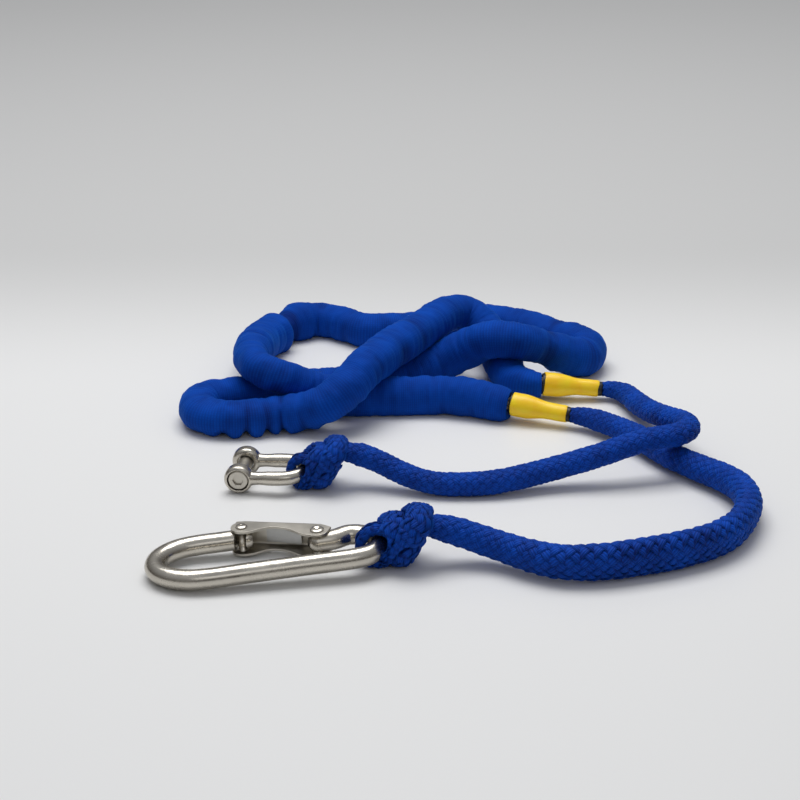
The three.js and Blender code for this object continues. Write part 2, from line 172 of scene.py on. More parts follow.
def all_round(sides):
    """Angles spaced evenly round a whole turn."""
    return np.arange(sides) * TURN / sides


def framed(line, up=(0.0, 0.0, 1.0)):
    """The tangents of a line, and the directions to its side and up from it."""
    tangent = unit(np.gradient(line, axis=0))
    side = unit(np.cross(up, tangent))
    return tangent, side, np.cross(tangent, side)


def square_to(tangent, vectors):
    """The part of each vector that is square to its tangent."""
    return vectors - (vectors * tangent).sum(axis=1)[:, None] * tangent


def rings(angle, side, up):
    """At each point of a line, unit rays that turn from its side towards its up."""
    return np.cos(angle)[None, :, None] * side[:, None] + np.sin(angle)[None, :, None] * up[:, None]


def boxy(wave, power):
    """A sine or cosine pushed outwards, which makes an ellipse boxier."""
    return np.sign(wave) * np.abs(wave) ** power


def blended(table, i, f, j, g):
    """Reads a table f past row i and g past column j. The last column is followed by the first."""
    k = (j + 1) % table.shape[1]
    near = table[i, j] * (1 - g) + table[i, k] * g
    far = table[i + 1, j] * (1 - g) + table[i + 1, k] * g
    return near * (1 - f) + far * f


def along(line):
    """The distance of each point of a line from its start."""
    return np.r_[0, np.cumsum(np.linalg.norm(np.diff(line, axis=0), axis=1))]


class Run:
    """A stretch of rope: its centre line, and how far its skin is from it in each direction.

    Loose cloth droops: its skin hangs lower under the line, and lies closer above it.
    """

    def __init__(self, curve, girth, ups=None, step=0.002, sides=48, droop=0.0):
        whole = along(curve)
        self.at = np.linspace(0, whole[-1], int(whole[-1] / step) + 1)

        def resampled(values):
            return np.stack([np.interp(self.at, whole, values[:, k]) for k in range(3)], axis=1)

        self.line = resampled(curve)
        frames = framed(self.line) if ups is None else framed(self.line, resampled(ups))
        self.tangent, self.side, self.up = frames
        self.angle = all_round(sides)
        self.rays = rings(self.angle, self.side, self.up)
        table = np.array(girth) / 1000
        half_width, half_height = (np.interp(self.at, table[:, 0], table[:, k]) / 2 for k in (1, 2))
        self.full = 1 / np.hypot(
            np.cos(self.angle) / half_width[:, None], np.sin(self.angle) / half_height[:, None]
        )
        rise = self.rays[:, :, 2]
        self.full += droop * (0.8 * np.maximum(-rise, 0) - 0.35 * np.maximum(rise, 0))
        self.girth = (half_width + half_height) / 2
        self.reach = self.full.copy()
        self.keep_bends_open()

    def keep_bends_open(self):
        """Keeps the skin inside a bend from passing the bend's own centre."""
        bend = np.gradient(self.tangent, self.at, axis=0)
        inwards = (self.rays * bend[:, None]).sum(axis=2)
        self.reach = np.minimum(self.reach, 0.86 / np.maximum(inwards, 1e-6))

    def press(self, other, apart):
        """Flattens this run where it lies against another, or against itself further along."""
        for i, centre in enumerate(self.line):
            skin = centre + self.full[i][:, None] * self.rays[i]
            away = np.linalg.norm(skin[:, None] - other.line[None], axis=2)
            if other is self:
                away[:, np.abs(self.at - self.at[i]) < apart] = np.inf
            near = away.argmin(axis=1)
            low, high = 0.25 * self.full[i], self.full[i].copy()
            for _ in range(12):
                middle = (low + high) / 2
                apart_by = centre + middle[:, None] * self.rays[i] - other.line[near]
                across = square_to(other.tangent[near], apart_by)
                share = np.linalg.norm(across, axis=1) / (other.girth[near] + 0.0002)
                inside = share < middle / self.full[i]
                high = np.where(inside, middle, high)
                low = np.where(inside, low, middle)
            touching = away.min(axis=1) < other.girth[near] + self.full[i]
            self.reach[i] = np.where(touching, np.minimum(self.reach[i], low), self.reach[i])

    def rest_on_floor(self):
        down = np.maximum(-self.rays[:, :, 2], 1e-6)
        self.reach = np.minimum(self.reach, (self.line[:, 2, None] - FLOOR) / down)

    def stations(self, at):
        """The station before each distance, and the share of the way from it to the next."""
        row = np.clip(at / self.at[-1], 0, 1) * (len(self.at) - 1)
        i = np.minimum(row.astype(int), len(self.at) - 2)
        return i, row - i

    def sampled(self, at, angle):
        """Centres, directions and reaches at distances and angles, both of one shape."""
        i, share = self.stations(at)
        f = share[..., None]

        def between(values):
            return values[i] * (1 - f) + values[i + 1] * f

        side, up = unit(between(self.side)), unit(between(self.up))
        ray = np.cos(angle)[..., None] * side + np.sin(angle)[..., None] * up
        column = (angle / TURN % 1) * len(self.angle)
        j = column.astype(int) % len(self.angle)
        g = column - column.astype(int)
        return between(self.line), ray, blended(self.reach, i, share, j, g)

    def edges(self):
        """The lengths of the sides of the skin's outline at each station."""
        outline = self.line[:, None] + self.reach[..., None] * self.rays
        return np.linalg.norm(np.roll(outline, -1, axis=1) - outline, axis=2)

    def even_angle(self, at, share):
        """The angle that is a share of the way round the skin's own outline, at each distance."""
        passed = np.pad(np.cumsum(self.edges(), axis=1), ((0, 0), (1, 0)))
        passed /= passed[:, -1:]
        steps = 64
        shares = np.linspace(0, 1, steps + 1)
        angles = np.stack([np.interp(shares, row, np.append(self.angle, TURN)) for row in passed])
        i, f = self.stations(at)
        column = (share % 1) * steps
        j = np.minimum(column.astype(int), steps - 1)
        return blended(angles, i, f, j, column - j)

    def outline_length(self, at):
        return np.interp(at, self.at, self.edges().sum(axis=1))


def placed(points):
    """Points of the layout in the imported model's frame."""
    return np.array(points) - MIDDLE


def layout(route):
    return catmull_rom(placed(route))


sleeve_run = Run(layout(SLEEVE_ROUTE), SLEEVE_GIRTH, droop=0.0014)
shackle_tail_run = Run(layout(SHACKLE_TAIL_ROUTE), SHACKLE_TAIL_GIRTH)
hook_tail_run = Run(layout(HOOK_TAIL_ROUTE), HOOK_TAIL_GIRTH)


# --- mesh helpers ---

def new_object(name, vertices, faces, uvs=None):
    """uvs has a pair for each corner of each face."""
    mesh = bpy.data.meshes.new(name)
    mesh.from_pydata(np.asarray(vertices).reshape(-1, 3).tolist(), [], faces)
    if uvs is not None:
        layer = mesh.uv_layers.new(name="rope")
        layer.data.foreach_set("uv", np.asarray(uvs, np.float32).ravel())
    mesh.polygons.foreach_set("use_smooth", [True] * len(mesh.polygons))
    mesh.update()
    obj = bpy.data.objects.new(name, mesh)
    scene.collection.objects.link(obj)
    return obj


def grid_faces(rows, columns, first=0):
    """Quads over rows of vertices that close round on themselves."""
    i, j = np.meshgrid(np.arange(rows - 1), np.arange(columns), indexing="ij")
    k = (j + 1) % columns
    corners = np.stack([i * columns + j, i * columns + k, (i + 1) * columns + k, (i + 1) * columns + j], -1)
    return (corners.reshape(-1, 4) + first).tolist()


def grid_uvs(at, columns):
    """Distance along and share of the way round, for the faces of grid_faces."""
    i, j = np.meshgrid(np.arange(len(at) - 1), np.arange(columns), indexing="ij")
    u = np.stack([at[i], at[i], at[i + 1], at[i + 1]], -1)
    v = np.stack([j, j + 1, j + 1, j], -1) / columns
    return np.stack([u, v], -1).reshape(-1, 2)


def end_faces(rows, columns, first=0):
    """Flat ends for the first and last rows of grid_faces."""
    last = first + (rows - 1) * columns
    return [list(range(first, first + columns))[::-1], list(range(last, last + columns))]


def joining_faces(rows, columns):
    """Quads from the last row of grid_faces round to the first."""
    last = (rows - 1) * columns
    return [[last + j, last + (j + 1) % columns, (j + 1) % columns, j] for j in range(columns)]


def lattice(at, angle, length, lobes):
    """Smooth noise from -1 to 1 over a skin: a new value each length along and lobes times round."""
    values = random.uniform(-1, 1, (int(at[-1] / length) + 3, lobes))
    row = (at / length)[:, None]
    i = row.astype(int)
    column = angle / TURN * lobes
    whole = column.astype(int)
    return blended(values, i, smooth(row - i), whole % lobes, smooth(column - whole))


def evaluated(obj):
    """Applies an object's modifiers, and shades the result smooth."""
    bpy.context.view_layer.update()
    mesh = bpy.data.meshes.new_from_object(obj.evaluated_get(bpy.context.evaluated_depsgraph_get()))
    mesh.polygons.foreach_set("use_smooth", [True] * len(mesh.polygons))
    obj.modifiers.clear()
    obj.data = mesh
    return obj


def modified(obj, kind, **settings):
    modifier = obj.modifiers.new(kind, kind)
    for name, value in settings.items():
        setattr(modifier, name, value)


def boolean(obj, cutters, operation="DIFFERENCE"):
    for cutter in cutters:
        modified(obj, "BOOLEAN", operation=operation, object=cutter, solver="EXACT")
    evaluated(obj)
    for cutter in cutters:
        bpy.data.objects.remove(cutter)
    return obj


def softened(obj, width):
    """Rounds an object's sharp edges over, and shades it by its larger faces."""
    sharp = math.radians(35)
    modified(obj, "BEVEL", width=width, segments=2, limit_method="ANGLE", angle_limit=sharp)
    evaluated(obj)
    modified(obj, "WEIGHTED_NORMAL", keep_sharp=True)
    return evaluated(obj)


def facing_out(obj):
    """Turns a closed mesh's faces outwards."""
    mesh = bmesh.new()
    mesh.from_mesh(obj.data)
    bmesh.ops.recalc_face_normals(mesh, faces=mesh.faces)
    mesh.to_mesh(obj.data)
    mesh.free()
    return obj


def swept(name, line, radii, sides):
    """A round rod along a line, closed at both ends."""
    rays = rings(all_round(sides), *framed(line)[1:])
    points = line[:, None] + np.broadcast_to(radii, len(line))[:, None, None] * rays
    return new_object(name, points, grid_faces(len(line), sides) + end_faces(len(line), sides))


def turned(name, profile, sides=48):
    """A solid of revolution about Z from (radius, height) points that begin and end on the axis."""
    vertices = []
    rows = []
    for radius, height in profile:
        angles = all_round(sides if radius else 1)
        rows.append(range(len(vertices), len(vertices) + len(angles)))
        vertices += [(radius * math.cos(a), radius * math.sin(a), height) for a in angles]
    faces = []
    for low, high in zip(rows, rows[1:]):
        for k in range(sides):
            corners = [low[k % len(low)], low[(k + 1) % len(low)]]
            corners += [high[(k + 1) % len(high)], high[k % len(high)]]
            faces.append(list(dict.fromkeys(corners)))
    return facing_out(new_object(name, vertices, faces))


def extruded(name, outline, low, high):
    """A prism from an outline in the XY plane."""
    vertices = [(x, y, z) for z in (low, high) for x, y in outline]
    return facing_out(new_object(name, vertices, grid_faces(2, len(outline)) + end_faces(2, len(outline))))


def bar(radius, low, high, sides=48):
    return turned("bar", [(0, low), (radius, low), (radius, high), (0, high)], sides)


def moved(obj, matrix):
    obj.data.transform(matrix)
    return obj


# --- materials ---

class Nodes:
    """A material's node tree, with short calls to add to it."""

    def __init__(self, name):
        self.material = bpy.data.materials.new(name)
        self.material.use_nodes = True
        self.tree = self.material.node_tree
        self.shader = self.tree.nodes["Principled BSDF"]
        self.place = self.add("ShaderNodeTexCoord").outputs["Object"]

    def add(self, kind, links=None, values=None, **settings):
        node = self.tree.nodes.new(kind)
        for key, value in settings.items():
            setattr(node, key, value)
        for key, value in (values or {}).items():
            node.inputs[key].default_value = value
        for key, socket in (links or {}).items():
            self.tree.links.new(socket, node.inputs[key])
        return node

    def combined(self, operation, *values):
        node = self.add("ShaderNodeMath", operation=operation)
        for socket, value in zip(node.inputs, values):
            if isinstance(value, (int, float)):
                socket.default_value = value
            else:
                self.tree.links.new(value, socket)
        return node.outputs[0]

    def scaled(self, value, times, plus=0.0):
        return self.combined("MULTIPLY_ADD", value, times, plus)

    def mixed(self, factor, first, second):
        colours = {6: (*first, 1), 7: (*second, 1)}
        return self.add("ShaderNodeMix", {0: factor}, colours, data_type="RGBA").outputs[2]

    def noise(self, scale, detail=3.0, place=None):
        links = {"Vector": self.place if place is None else place}
        return self.add("ShaderNodeTexNoise", links, {"Scale": scale, "Detail": detail}).outputs["Fac"]

    def ramp(self, factor, low, high, to_low=0.0, to_high=1.0, **settings):
        values = {"From Min": low, "From Max": high, "To Min": to_low, "To Max": to_high}
        return self.add("ShaderNodeMapRange", {"Value": factor}, values, **settings).outputs["Result"]

    def bump(self, height, distance, strength=1.0, normal=None):
        links = {"Height": height} | ({"Normal": normal} if normal is not None else {})
        node = self.add("ShaderNodeBump", links, {"Distance": distance, "Strength": strength})
        return node.outputs["Normal"]

    def surface(self, colour=None, roughness=None, normal=None, **fixed):
        for name, socket in (("Base Color", colour), ("Roughness", roughness), ("Normal", normal)):
            if socket is not None:
                self.tree.links.new(socket, self.shader.inputs[name])
        for name, value in fixed.items():
            self.shader.inputs[name.replace("_", " ")].default_value = value
        return self.material

    def ribs(self, axis, scale, place, distortion=0.6):
        values = {"Scale": scale, "Distortion": distortion, "Detail": 2.0}
        wave = self.add("ShaderNodeTexWave", {"Vector": place}, values, bands_direction=axis)
        return wave.outputs["Fac"]

    def on_rope(self):
        """The rope's own coordinates, and how deep each place lies between its folds or strands, which the
        cloth materials paint as shade.
        """
        uv = self.add("ShaderNodeUVMap", uv_map="rope").outputs["UV"]
        hollow = self.add("ShaderNodeAttribute", attribute_name="hollow").outputs["Fac"]
        return uv, hollow

    def blue_cloth(self, shade, dark, bright, normal, **fixed):
        """Dyed fibre with a blue sheen, dark where the shade is 0 and bright where it is 1. The dark colour
        serves both for the weave's own darker tone and for painted shade.
        """
        colour = self.mixed(shade, dark, bright)
        return self.surface(
            colour, None, normal, Sheen_Roughness=0.4, Sheen_Tint=(0.01, 0.3, 1.0, 1.0), **fixed,
        )


def webbing_material():
    """Gathered tubular webbing: fine ribs across and along, random worn patches, and painted shade that
    darkens it in its folds.
    """
    nodes = Nodes("webbing")
    uv, hollow = nodes.on_rope()
    weft = nodes.ribs("X", 330.0, uv, 2.2)
    warp = nodes.scaled(nodes.ribs("Y", 15.0, uv), 0.5, 0.5)
    weave = nodes.combined("MULTIPLY", weft, warp)
    worn = nodes.scaled(nodes.noise(70.0), 0.6)
    # Painted shade: the colour is darkened where the folds are deep, which leaves the ridges lighter.
    tone_and_painted_shade = nodes.scaled(hollow, -0.3, nodes.scaled(weave, 0.2, worn))
    normal = nodes.bump(weave, 0.00009, 0.6)
    normal = nodes.bump(nodes.noise(900.0, 4.0), 0.0002, 0.5, normal)
    return nodes.blue_cloth(
        nodes.ramp(tone_and_painted_shade, 0.05, 0.7), (0.0003, 0.016, 0.145), (0.0005, 0.075, 0.51), normal,
        Roughness=0.82, Sheen_Weight=0.25, Specular_IOR_Level=0.1,
    )


def braid_material():
    """Braided polyester: every strand is a bundle of yarns that run along it."""
    nodes = Nodes("braid")
    uv, hollow = nodes.on_rope()
    yarns = nodes.ribs("Y", 3.8, uv)
    fibres = nodes.noise(1500.0, 3.0)
    tone_and_painted_shade = nodes.scaled(yarns, 0.3, nodes.noise(90.0))
    # Painted shade: the colour is darkened where a strand passes under its neighbours, and fully on the
    # braid's inside.
    tone_and_painted_shade = nodes.scaled(hollow, -0.6, tone_and_painted_shade)
    normal = nodes.bump(fibres, 0.0001, 0.6, nodes.bump(yarns, 0.00022, 0.8))
    return nodes.blue_cloth(
        nodes.ramp(tone_and_painted_shade, 0.15, 0.95), (0.0003, 0.014, 0.145), (0.0005, 0.07, 0.51), normal,
        Roughness=0.68, Sheen_Weight=0.2, Specular_IOR_Level=0.14,
    )


def shrink_material(name, dark, light, roughness):
    """Heat-shrink tube: smooth plastic with a fine orange-peel skin."""
    nodes = Nodes(name)
    colour = nodes.mixed(nodes.ramp(nodes.noise(160.0), 0.3, 0.7), dark, light)
    rough = nodes.ramp(nodes.noise(400.0), 0.0, 1.0, roughness - 0.07, roughness + 0.1)
    normal = nodes.bump(nodes.noise(700.0, 2.0), 0.00012, 0.5)
    return nodes.surface(colour, rough, normal, Specular_IOR_Level=0.4, Coat_Weight=0.08)


def steel_material(name, tint, low, high):
    """Polished stainless steel with hairline scratches and a worn, uneven shine."""
    nodes = Nodes(name)
    stretched = nodes.add("ShaderNodeMapping", {"Vector": nodes.place}, {"Scale": (90.0, 1400.0, 900.0)})
    scratches = nodes.noise(1.0, 2.0, stretched.outputs[0])
    patches = nodes.noise(110.0, 4.0)
    colour = nodes.mixed(nodes.ramp(patches, 0.3, 0.7), tuple(0.86 * c for c in tint), tint)
    wear = nodes.scaled(scratches, 0.3, nodes.scaled(patches, 0.7))
    rough = nodes.ramp(wear, 0.3, 0.7, low, high)
    normal = nodes.bump(scratches, 0.00002, 0.4)
    normal = nodes.bump(nodes.noise(260.0, 2.0), 0.00006, 0.35, normal)
    return nodes.surface(colour, rough, normal, Metallic=1.0)


def fibre_material(name, dark, light, roughness):
    nodes = Nodes(name)
    fibres = nodes.noise(1200.0, 4.0)
    colour = nodes.mixed(nodes.ramp(fibres, 0.3, 0.7), dark, light)
    return nodes.surface(colour, None, nodes.bump(fibres, 0.0001, 0.7), Roughness=roughness)


def floor_material():
    """A pale sheet with a slight shine, painted darker further back as shade where the light falls off."""
    nodes = Nodes("sheet")
    depth = nodes.add("ShaderNodeSeparateXYZ", {"Vector": nodes.place}).outputs["Y"]
    shade = nodes.ramp(depth, 0.06, 0.27, interpolation_type="SMOOTHSTEP")
    # Painted shade: the far colour darkens the sheet further back, where the light falls off.
    colour = nodes.mixed(shade, (0.785, 0.785, 0.78), (0.575, 0.575, 0.57))
    normal = nodes.bump(nodes.noise(900.0, 2.0), 0.00002, 0.2)
    return nodes.surface(colour, None, normal, Roughness=0.42, Specular_IOR_Level=0.35)


WEBBING = webbing_material()
BRAID = braid_material()
YELLOW = shrink_material("yellow_shrink", (0.98, 0.58, 0.005), (1.0, 0.74, 0.016), 0.4)
BLACK = shrink_material("black_shrink", (0.006, 0.006, 0.007), (0.014, 0.014, 0.015), 0.45)
STEEL = steel_material("stainless", (0.57, 0.535, 0.47), 0.16, 0.34)
SHEET_STEEL = steel_material("sheet_steel", (0.56, 0.53, 0.47), 0.26, 0.42)
SPRING_STEEL = steel_material("spring_steel", (0.46, 0.46, 0.45), 0.25, 0.4)
RUBBER = fibre_material("core_rubber", (0.42, 0.34, 0.2), (0.6, 0.52, 0.36), 0.8)
TWINE = fibre_material("twine", (0.5, 0.46, 0.36), (0.72, 0.68, 0.57), 0.85)


def made_of(obj, material):
    obj.data.materials.clear()
    obj.data.materials.append(material)


def finished(obj, material, slot, body, *nodes):
    """Gives a piece its material, hides the CAD nodes that it stands for and hangs it on the body that it
    rides on.
    """
    made_of(obj, material)
    if nodes:
        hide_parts(*nodes)
    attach(obj, body)
    return obj


# --- rope ---

def set_hollow(obj, values):
    layer = obj.data.attributes.new("hollow", "FLOAT", "POINT")
    layer.data.foreach_set("value", np.asarray(values, np.float32).ravel())


def pinch_depth(at):
    """How far the pinches draw the sleeve in, with a swelling on each side of every one."""
    depth = np.zeros(len(at))
    for middle, deep, half in PINCHES:
        x = np.abs(at * 1000 - middle) / half
        depth += deep / 1000 * (np.exp(-x * x) - 0.4 * np.exp(-(((x - 2.4) / 1.3) ** 2)))
    return depth


def one_sided(at, angle):
    """The share of a pinch at each angle: the near loop's are only below, the rest go all round."""
    below = smooth(-1.1 * np.sin(angle))[None]
    near_loop = (np.abs(at - 0.222) < 0.026)[:, None]
    return np.where(near_loop, 1.15 * below + 0.04, 0.75)


def gathered_sleeve(run, step=0.0007, sides=60):
    """The sleeve's skin, gathered into folds that run round it, and the bore for the core."""
    at = np.linspace(0, run.at[-1], int(run.at[-1] / step) + 1)
    angle = all_round(sides)
    centre, ray, reach = run.sampled(*np.meshgrid(at, angle, indexing="ij"))
    folds = 1 - 2 * np.abs(lattice(at, angle, 0.0024, 5))
    ruffles = 1 - 2 * np.abs(lattice(at, angle, 0.0052, 4))
    lumps = lattice(at, angle, 0.014, 3)
    threads = lattice(at, angle, 0.0013, 18)
    relief = 0.00024 * folds + 0.0003 * ruffles + 0.0004 * lumps + 0.00009 * threads
    around = one_sided(at, angle) + 0.5 * lattice(at, angle, 0.012, 4)
    relief = relief - pinch_depth(at)[:, None] * around
    calm = smooth(np.minimum(at, at[-1] - at) / 0.004)[:, None]
    skin = reach + relief * calm
    points = centre + np.maximum(skin, 0.002)[..., None] * ray
    points[..., 2] = np.maximum(points[..., 2], FLOOR)
    inner_at = at[::3][::-1]
    inner_centre, inner_ray, inner_reach = run.sampled(*np.meshgrid(inner_at, angle, indexing="ij"))
    bore = np.minimum(SLEEVE_BORE / 2, 0.8 * inner_reach)
    inside = inner_centre + bore[..., None] * inner_ray
    rows = np.concatenate([points, inside])
    faces = grid_faces(len(rows), sides) + joining_faces(len(rows), sides)
    obj = new_object("sleeve", rows, faces, grid_uvs(np.r_[at, inner_at, at[:1]], sides))
    # How deep each place lies in the folds and pinches, painted as shade by the webbing.
    hollow = np.clip(-relief * calm / 0.0009, 0, 1)
    set_hollow(obj, np.concatenate([hollow, np.zeros(inside.shape[:2])]))
    return obj


def plaited(name, run, carriers=8, pitch=0.04, thickness=0.0013, step=0.0008):
    """A hollow braid over a run: flat strands that wind both ways, over and under each other."""
    stations = int(run.at[-1] / step) + 1
    at = np.tile(np.linspace(0, run.at[-1], stations), (2 * carriers, 1))
    which = np.arange(2 * carriers)[:, None]
    way = np.where(which < carriers, 1, -1)
    centre, ray, reach = run.sampled(at, run.even_angle(at, which / carriers + way * at / pitch))
    weave = way * np.cos(carriers * TURN * at / pitch)
    around = run.outline_length(at)
    half = 0.56 * around / carriers * np.cos(np.arctan(around / pitch))
    wobble = 0.00012 * np.interp(at, np.linspace(0, run.at[-1], 90), random.uniform(-1, 1, 90))
    out = reach - 0.7 * thickness + 0.34 * thickness * weave + wobble
    path = centre + out[..., None] * ray
    tangent = unit(np.gradient(path, axis=1))
    across = unit(np.cross(ray, tangent))
    outward = np.cross(tangent, across)
    sides = 10
    turn = all_round(sides)
    points = (
        path[:, :, None]
        + half[:, :, None, None] * boxy(np.cos(turn), 0.8)[:, None] * across[:, :, None]
        + thickness / 2 * np.sin(turn)[:, None] * outward[:, :, None]
    )
    points[..., 2] = np.maximum(points[..., 2], FLOOR)
    faces = []
    uvs = []
    for strand in range(2 * carriers):
        first = strand * stations * sides
        faces += grid_faces(stations, sides, first) + end_faces(stations, sides, first)
        uvs += [grid_uvs(at[strand], sides), np.zeros((2 * sides, 2))]
    # How far each place lies under the crossing strands, painted as shade by the braid; the inside gets the
    # full painted shade.
    hollow = np.broadcast_to(0.5 - 0.5 * weave[:, :, None], points.shape[:3]).ravel()
    core_points, core_faces = core_of(run, points.size // 3)
    uvs.append(np.zeros((sum(map(len, core_faces)), 2)))
    vertices = np.vstack([points.reshape(-1, 3), core_points])
    obj = new_object(name, vertices, faces + core_faces, np.vstack(uvs))
    set_hollow(obj, np.r_[hollow, np.ones(len(core_points))])
    return obj


def core_of(run, first, share=0.8, sides=16):
    """The braid's inside, a tube coloured with full painted shade, so that no light shows between its
    strands.
    """
    centre, ray, reach = run.sampled(*np.meshgrid(run.at, all_round(sides), indexing="ij"))
    points = centre + (reach * share - 0.0004)[..., None] * ray
    rows = len(run.at)
    return points.reshape(-1, 3), grid_faces(rows, sides, first) + end_faces(rows, sides, first)


def strands(name, curve, offsets, radius, pitch, sides=8):
    """Round strands that twist about a line: one at each (distance out, turn) offset."""
    at = along(curve)
    side, up = framed(curve)[1:]
    rays = rings(all_round(sides), side, up)
    vertices = []
    faces = []
    for out, turn in offsets:
        angle = (turn + at * TURN / pitch)[:, None]
        middle = curve + out * (np.cos(angle) * side + np.sin(angle) * up)
        first = len(vertices) * len(curve) * sides
        vertices.append((middle[:, None] + radius * rays).reshape(-1, 3))
        faces += grid_faces(len(curve), sides, first) + end_faces(len(curve), sides, first)
    return new_object(name, np.vstack(vertices), faces)


# --- fittings' places ---

def stand(place, degrees):
    """The matrix of a fitting's own frame."""
    turn = Euler([math.radians(a) for a in degrees], "XYZ").to_matrix().to_4x4()
    return Matrix.Translation(Vector(placed(place))) @ turn


HOOK = stand((-0.075, -0.184, 0.00465), (1.7, -2.8, 11.5))
SHACKLE = stand((-0.0654, -0.088, 0.0061), (0, -2.4, -7))
HOOK_APEX = Vector((0.0695, 0.0095, 0))
SHACKLE_APEX = Vector((0.026, 0, 0))
GATE_HINGE = np.array((0.0475, 0.0166, 0))
GATE_LATCH = np.array((0.0195, 0.027, 0))
SHACKLE_HALF = 0.009  # from the shackle's middle to the middle of each leg
EYE_OPENING = 65  # degrees on each side of the knot that the eye's loop leaves open


def arc(x, y, radius_x, radius_y, start, end, count):
    """Points of a round or oval stretch about a centre, between two angles in degrees."""
    angles = np.radians(np.linspace(start, end, count))
    return [(x + radius_x * math.cos(a), y + radius_y * math.sin(a)) for a in angles]


def flat_curve(points, count):
    """A curve in the XY plane through its points."""
    return np.pad(catmull_rom(points, count), ((0, 0), (0, 1)))


HOOK_LINE = flat_curve([
    (GATE_LATCH[0] + 0.0036, GATE_LATCH[1] + 0.0002), (GATE_LATCH[0] - 0.008, 0.027),
    *arc(0.002, 0.0135, 0.018, 0.0135, 90, 270, 9), (0.02, 0), (0.04, 0),
    *arc(0.06, 0.0095, 0.0095, 0.0095, -90, 90, 7), (0.054, 0.017), tuple(GATE_HINGE[:2]),
], 14)
SHACKLE_LINE = flat_curve([
    (0.003, -SHACKLE_HALF), (0.01, -SHACKLE_HALF),
    *arc(0.017, 0, SHACKLE_HALF, SHACKLE_HALF, -90, 90, 9),
    (0.01, SHACKLE_HALF), (0.003, SHACKLE_HALF),
], 8)


def eye_run(fitting, apex, radius, knot, girth):
    """The flat turn of braid that leaves the knot, goes round the rod and comes back."""
    centre = np.array(fitting @ apex)
    outwards, _, above = np.array(fitting.to_3x3()).T
    angles = np.radians(np.linspace(EYE_OPENING, 360 - EYE_OPENING, 11))
    loop = [centre + radius * (math.cos(a) * outwards + math.sin(a) * above) for a in angles]
    leg = 0.003 * above
    curve = catmull_rom([placed(knot) + leg, *loop, placed(knot) - leg], 16)
    forward = np.maximum(((curve - centre) * outwards).sum(axis=1), 0)
    ups = unit(curve - centre - forward[:, None] * outwards)
    return Run(curve, girth, ups, step=0.001, sides=32)


def knot_run(centre, size, strand, lean, forward):
    """Two turns of rope about the X axis that cross over in front, with both ends tucked in.

    size is half of the knot's length, depth and height, and strand is the width and height of its
    rope in millimetres. lean is how far a turn's top stands along X from its middle, and forward is
    how far the knot stands towards -X.
    """
    turns = np.linspace(0, 2.35, 150)
    angle = -math.pi / 2 - turns * TURN
    width, height = strand[0] / 1000, strand[1] / 1000
    tuck = 0.5 + 0.5 * smooth(np.minimum(turns, turns[-1] - turns) / 0.2)
    crossing = smooth((turns - 1.02) / 0.42)  # 0 on the first turn, 1 on the second
    grown = tuck * (0.84 + 0.16 * crossing)  # the second turn lies over the first
    depth = (size[1] - height / 2) * grown * boxy(np.cos(angle), 0.75)
    rise = (size[2] - height / 2) * grown * boxy(np.sin(angle), 0.85)
    lowered = 0.16 * size[2] * (1 - crossing)
    shift = (size[0] - width / 2) * (2 * crossing - 1) + lean * np.sin(angle)
    curve = np.stack([shift - forward, depth, rise - lowered], axis=1) + placed(centre)
    ups = unit(np.stack([0 * shift, depth, rise], axis=1))
    girth = [(0, strand[0] * 0.8, strand[1]), (8, *strand), (500, *strand)]
    return Run(curve, girth, ups, step=0.001, sides=40)


HOOK_KNOT = (0.0005, -0.1605, 0.0118)
SHACKLE_KNOT = (-0.031, -0.091, 0.0108)
HOOK_KNOT_SIZE = (0.0102, 0.0118, 0.0120)
SHACKLE_KNOT_SIZE = (0.0084, 0.0105, 0.0110)
HOOK_EYE_RADIUS = 0.0066
SHACKLE_EYE_RADIUS = 0.0056
HOOK_EYE_GIRTH = [(0, 10, 4.4), (4, 8.4, 3.8), (8, 6.8, 3), (33, 6.8, 3), (37, 8.4, 3.8), (42, 10, 4.4)]
SHACKLE_EYE_GIRTH = [(0, 9, 4), (4, 8, 3.4), (7, 6.8, 2.8), (29, 6.8, 2.8), (33, 8, 3.4), (37, 9, 4)]
hook_knot_run = knot_run(HOOK_KNOT, HOOK_KNOT_SIZE, (12, 8), lean=0.0044, forward=0.0016)
shackle_knot_run = knot_run(SHACKLE_KNOT, SHACKLE_KNOT_SIZE, (10, 7.2), lean=0.0042, forward=0.0024)
hook_eye_run = eye_run(HOOK, HOOK_APEX, HOOK_EYE_RADIUS, HOOK_KNOT, HOOK_EYE_GIRTH)
shackle_eye_run = eye_run(SHACKLE, SHACKLE_APEX, SHACKLE_EYE_RADIUS, SHACKLE_KNOT, SHACKLE_EYE_GIRTH)

SLEEVE_APART = 0.036  # further along than this, the sleeve can lie on itself
KNOT_APART = 0.02  # and a knot's rope


def settle():
    """Presses the runs flat where they cross, and where they lie on the sheet."""
    pairs = [
        (sleeve_run, sleeve_run), (shackle_tail_run, hook_tail_run), (hook_tail_run, shackle_tail_run),
        (hook_knot_run, hook_knot_run), (shackle_knot_run, shackle_knot_run),
        (hook_knot_run, hook_tail_run), (shackle_knot_run, shackle_tail_run),
    ]
    for run, other in pairs:
        run.press(other, SLEEVE_APART if run is sleeve_run else KNOT_APART)
    for run in (sleeve_run, shackle_tail_run, hook_tail_run, hook_knot_run, shackle_knot_run):
        run.rest_on_floor()


SWING = 75  # degrees that each fitting swings up in its eye
ROD_CLEAR = 0.0001
BOW_DEPTH = 0.016  # the stretch of a fitting behind its eye that a knot can meet
BESIDE = 0.001  # a vertex is beside a point of the rod that is no further along it than this


